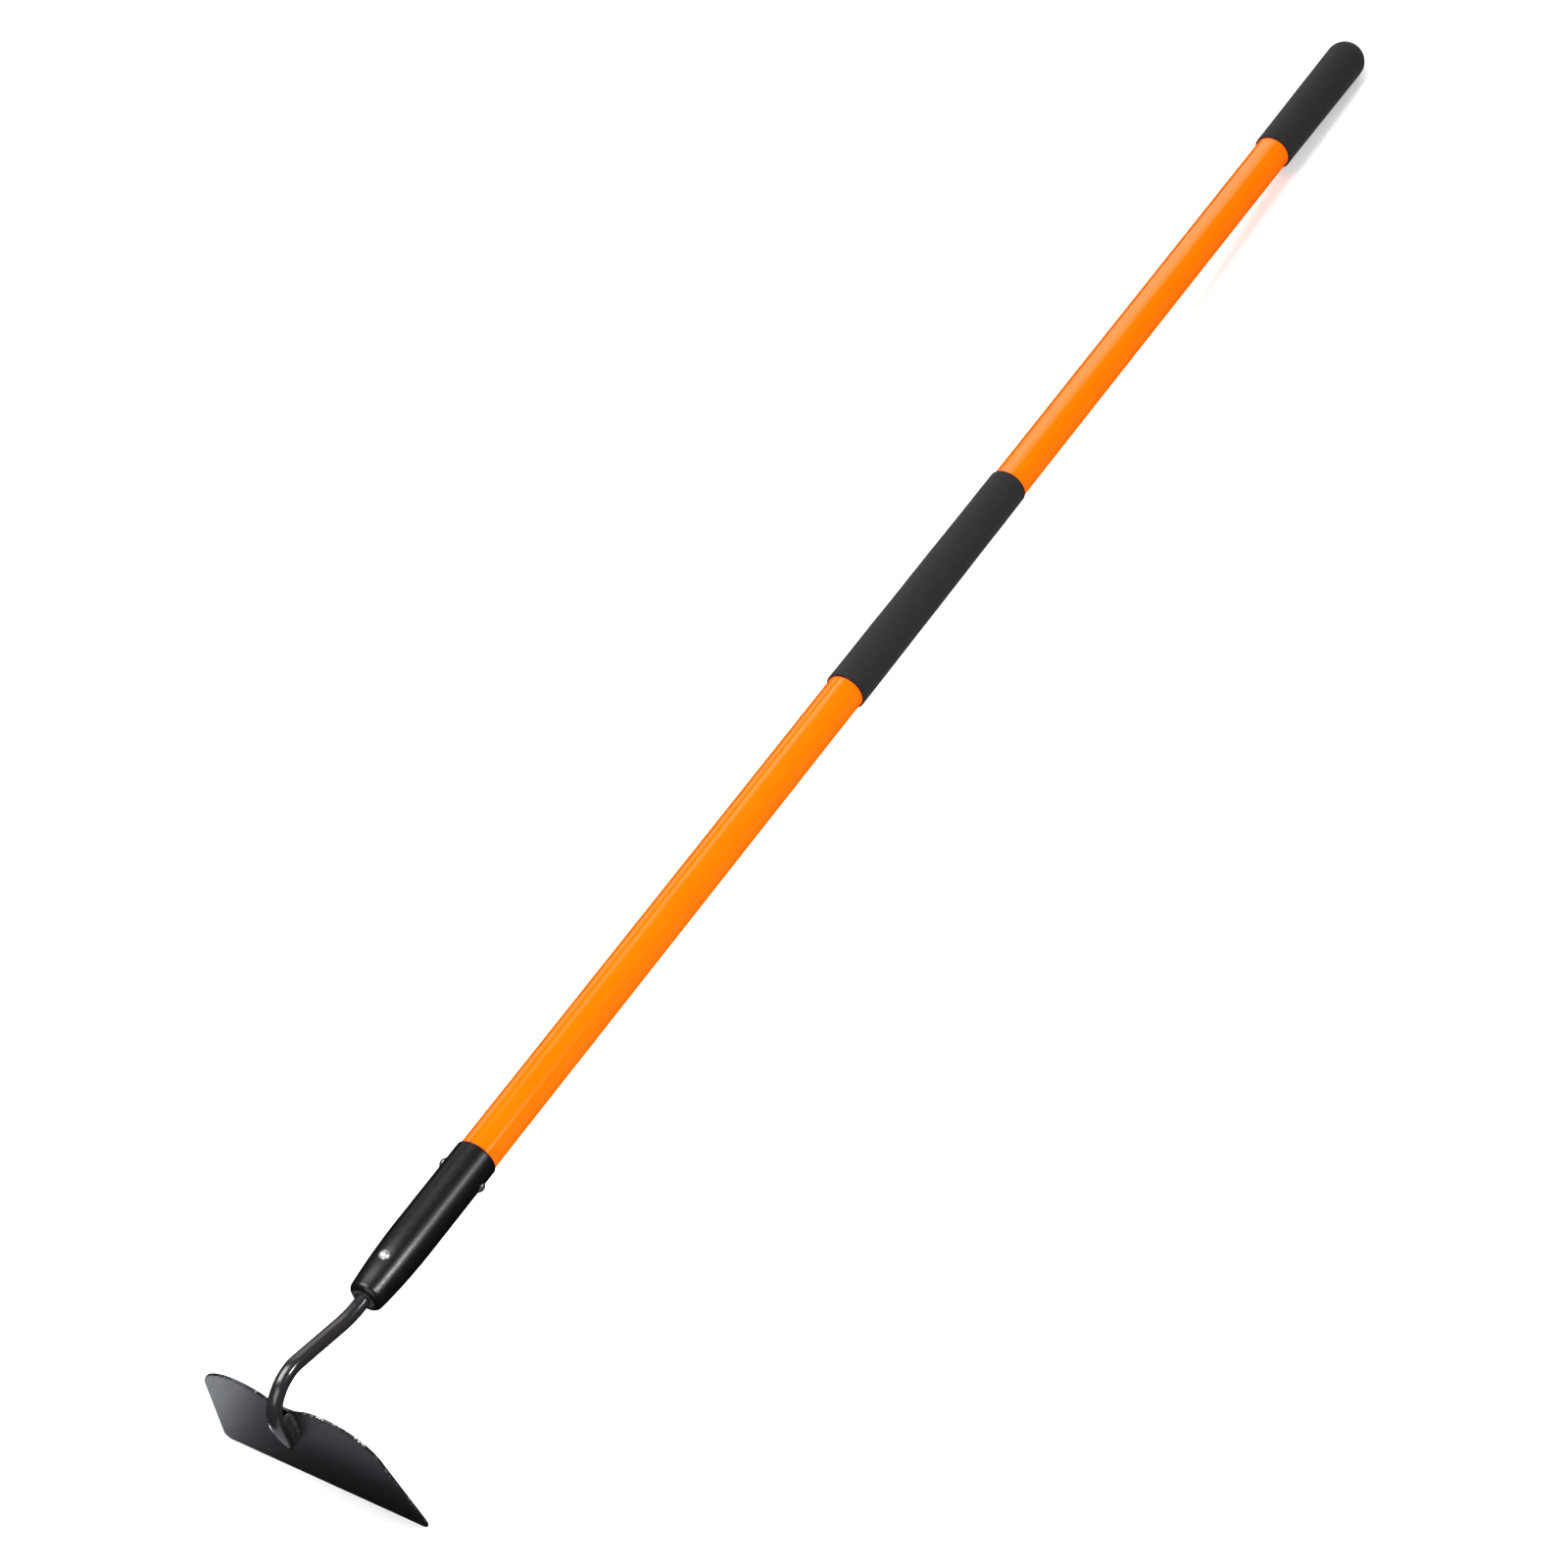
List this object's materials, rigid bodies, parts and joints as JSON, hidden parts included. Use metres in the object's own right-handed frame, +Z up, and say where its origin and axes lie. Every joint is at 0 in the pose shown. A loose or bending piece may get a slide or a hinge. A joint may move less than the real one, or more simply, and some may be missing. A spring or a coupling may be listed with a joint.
{
  "type": "grub hoe",
  "caption": "Long-handled grub hoe: a steel plate blade on a bent gooseneck bar, a riveted ferrule and a tubular handle with foam grips.",
  "frame": {"origin": "on the ground, below the middle of the hoe's length", "axes": "+Y along the hoe on the ground, from the blade to the end grip; +X along the cutting edge; +Z up; the hoe rests on its cutting edge and on the dome of its end grip"},
  "size_m": [0.161, 1.4984, 0.1269],
  "materials": {
    "blade_paint": "satin black paint, worn bright along the top edge",
    "bar_paint": "gloss black paint",
    "weld_paint": "rough weld under thin black paint",
    "ferrule_paint": "satin black paint",
    "rivet_steel": "bright plated steel",
    "core_wood": "turned hardwood",
    "tube_paint": "gloss orange powder coat",
    "spigot_steel": "turned steel",
    "grip_foam": "matte charcoal foam rubber",
    "plug_plastic": "moulded plastic"
  },
  "bodies": {
    "root": {"blade": "blade_paint", "gooseneck_shank": "bar_paint", "blade_weld_left": "weld_paint", "blade_weld_right": "weld_paint", "ferrule": "ferrule_paint", "ferrule_weld": "weld_paint", "tang_rivet": "rivet_steel", "handle_rivet": "rivet_steel", "core_plug": "core_wood", "lower_tube": "tube_paint", "joint_spigot": "spigot_steel", "upper_tube": "tube_paint", "middle_grip": "grip_foam", "end_grip": "grip_foam", "tube_end_plug": "plug_plastic"}
  },
  "joints": []
}
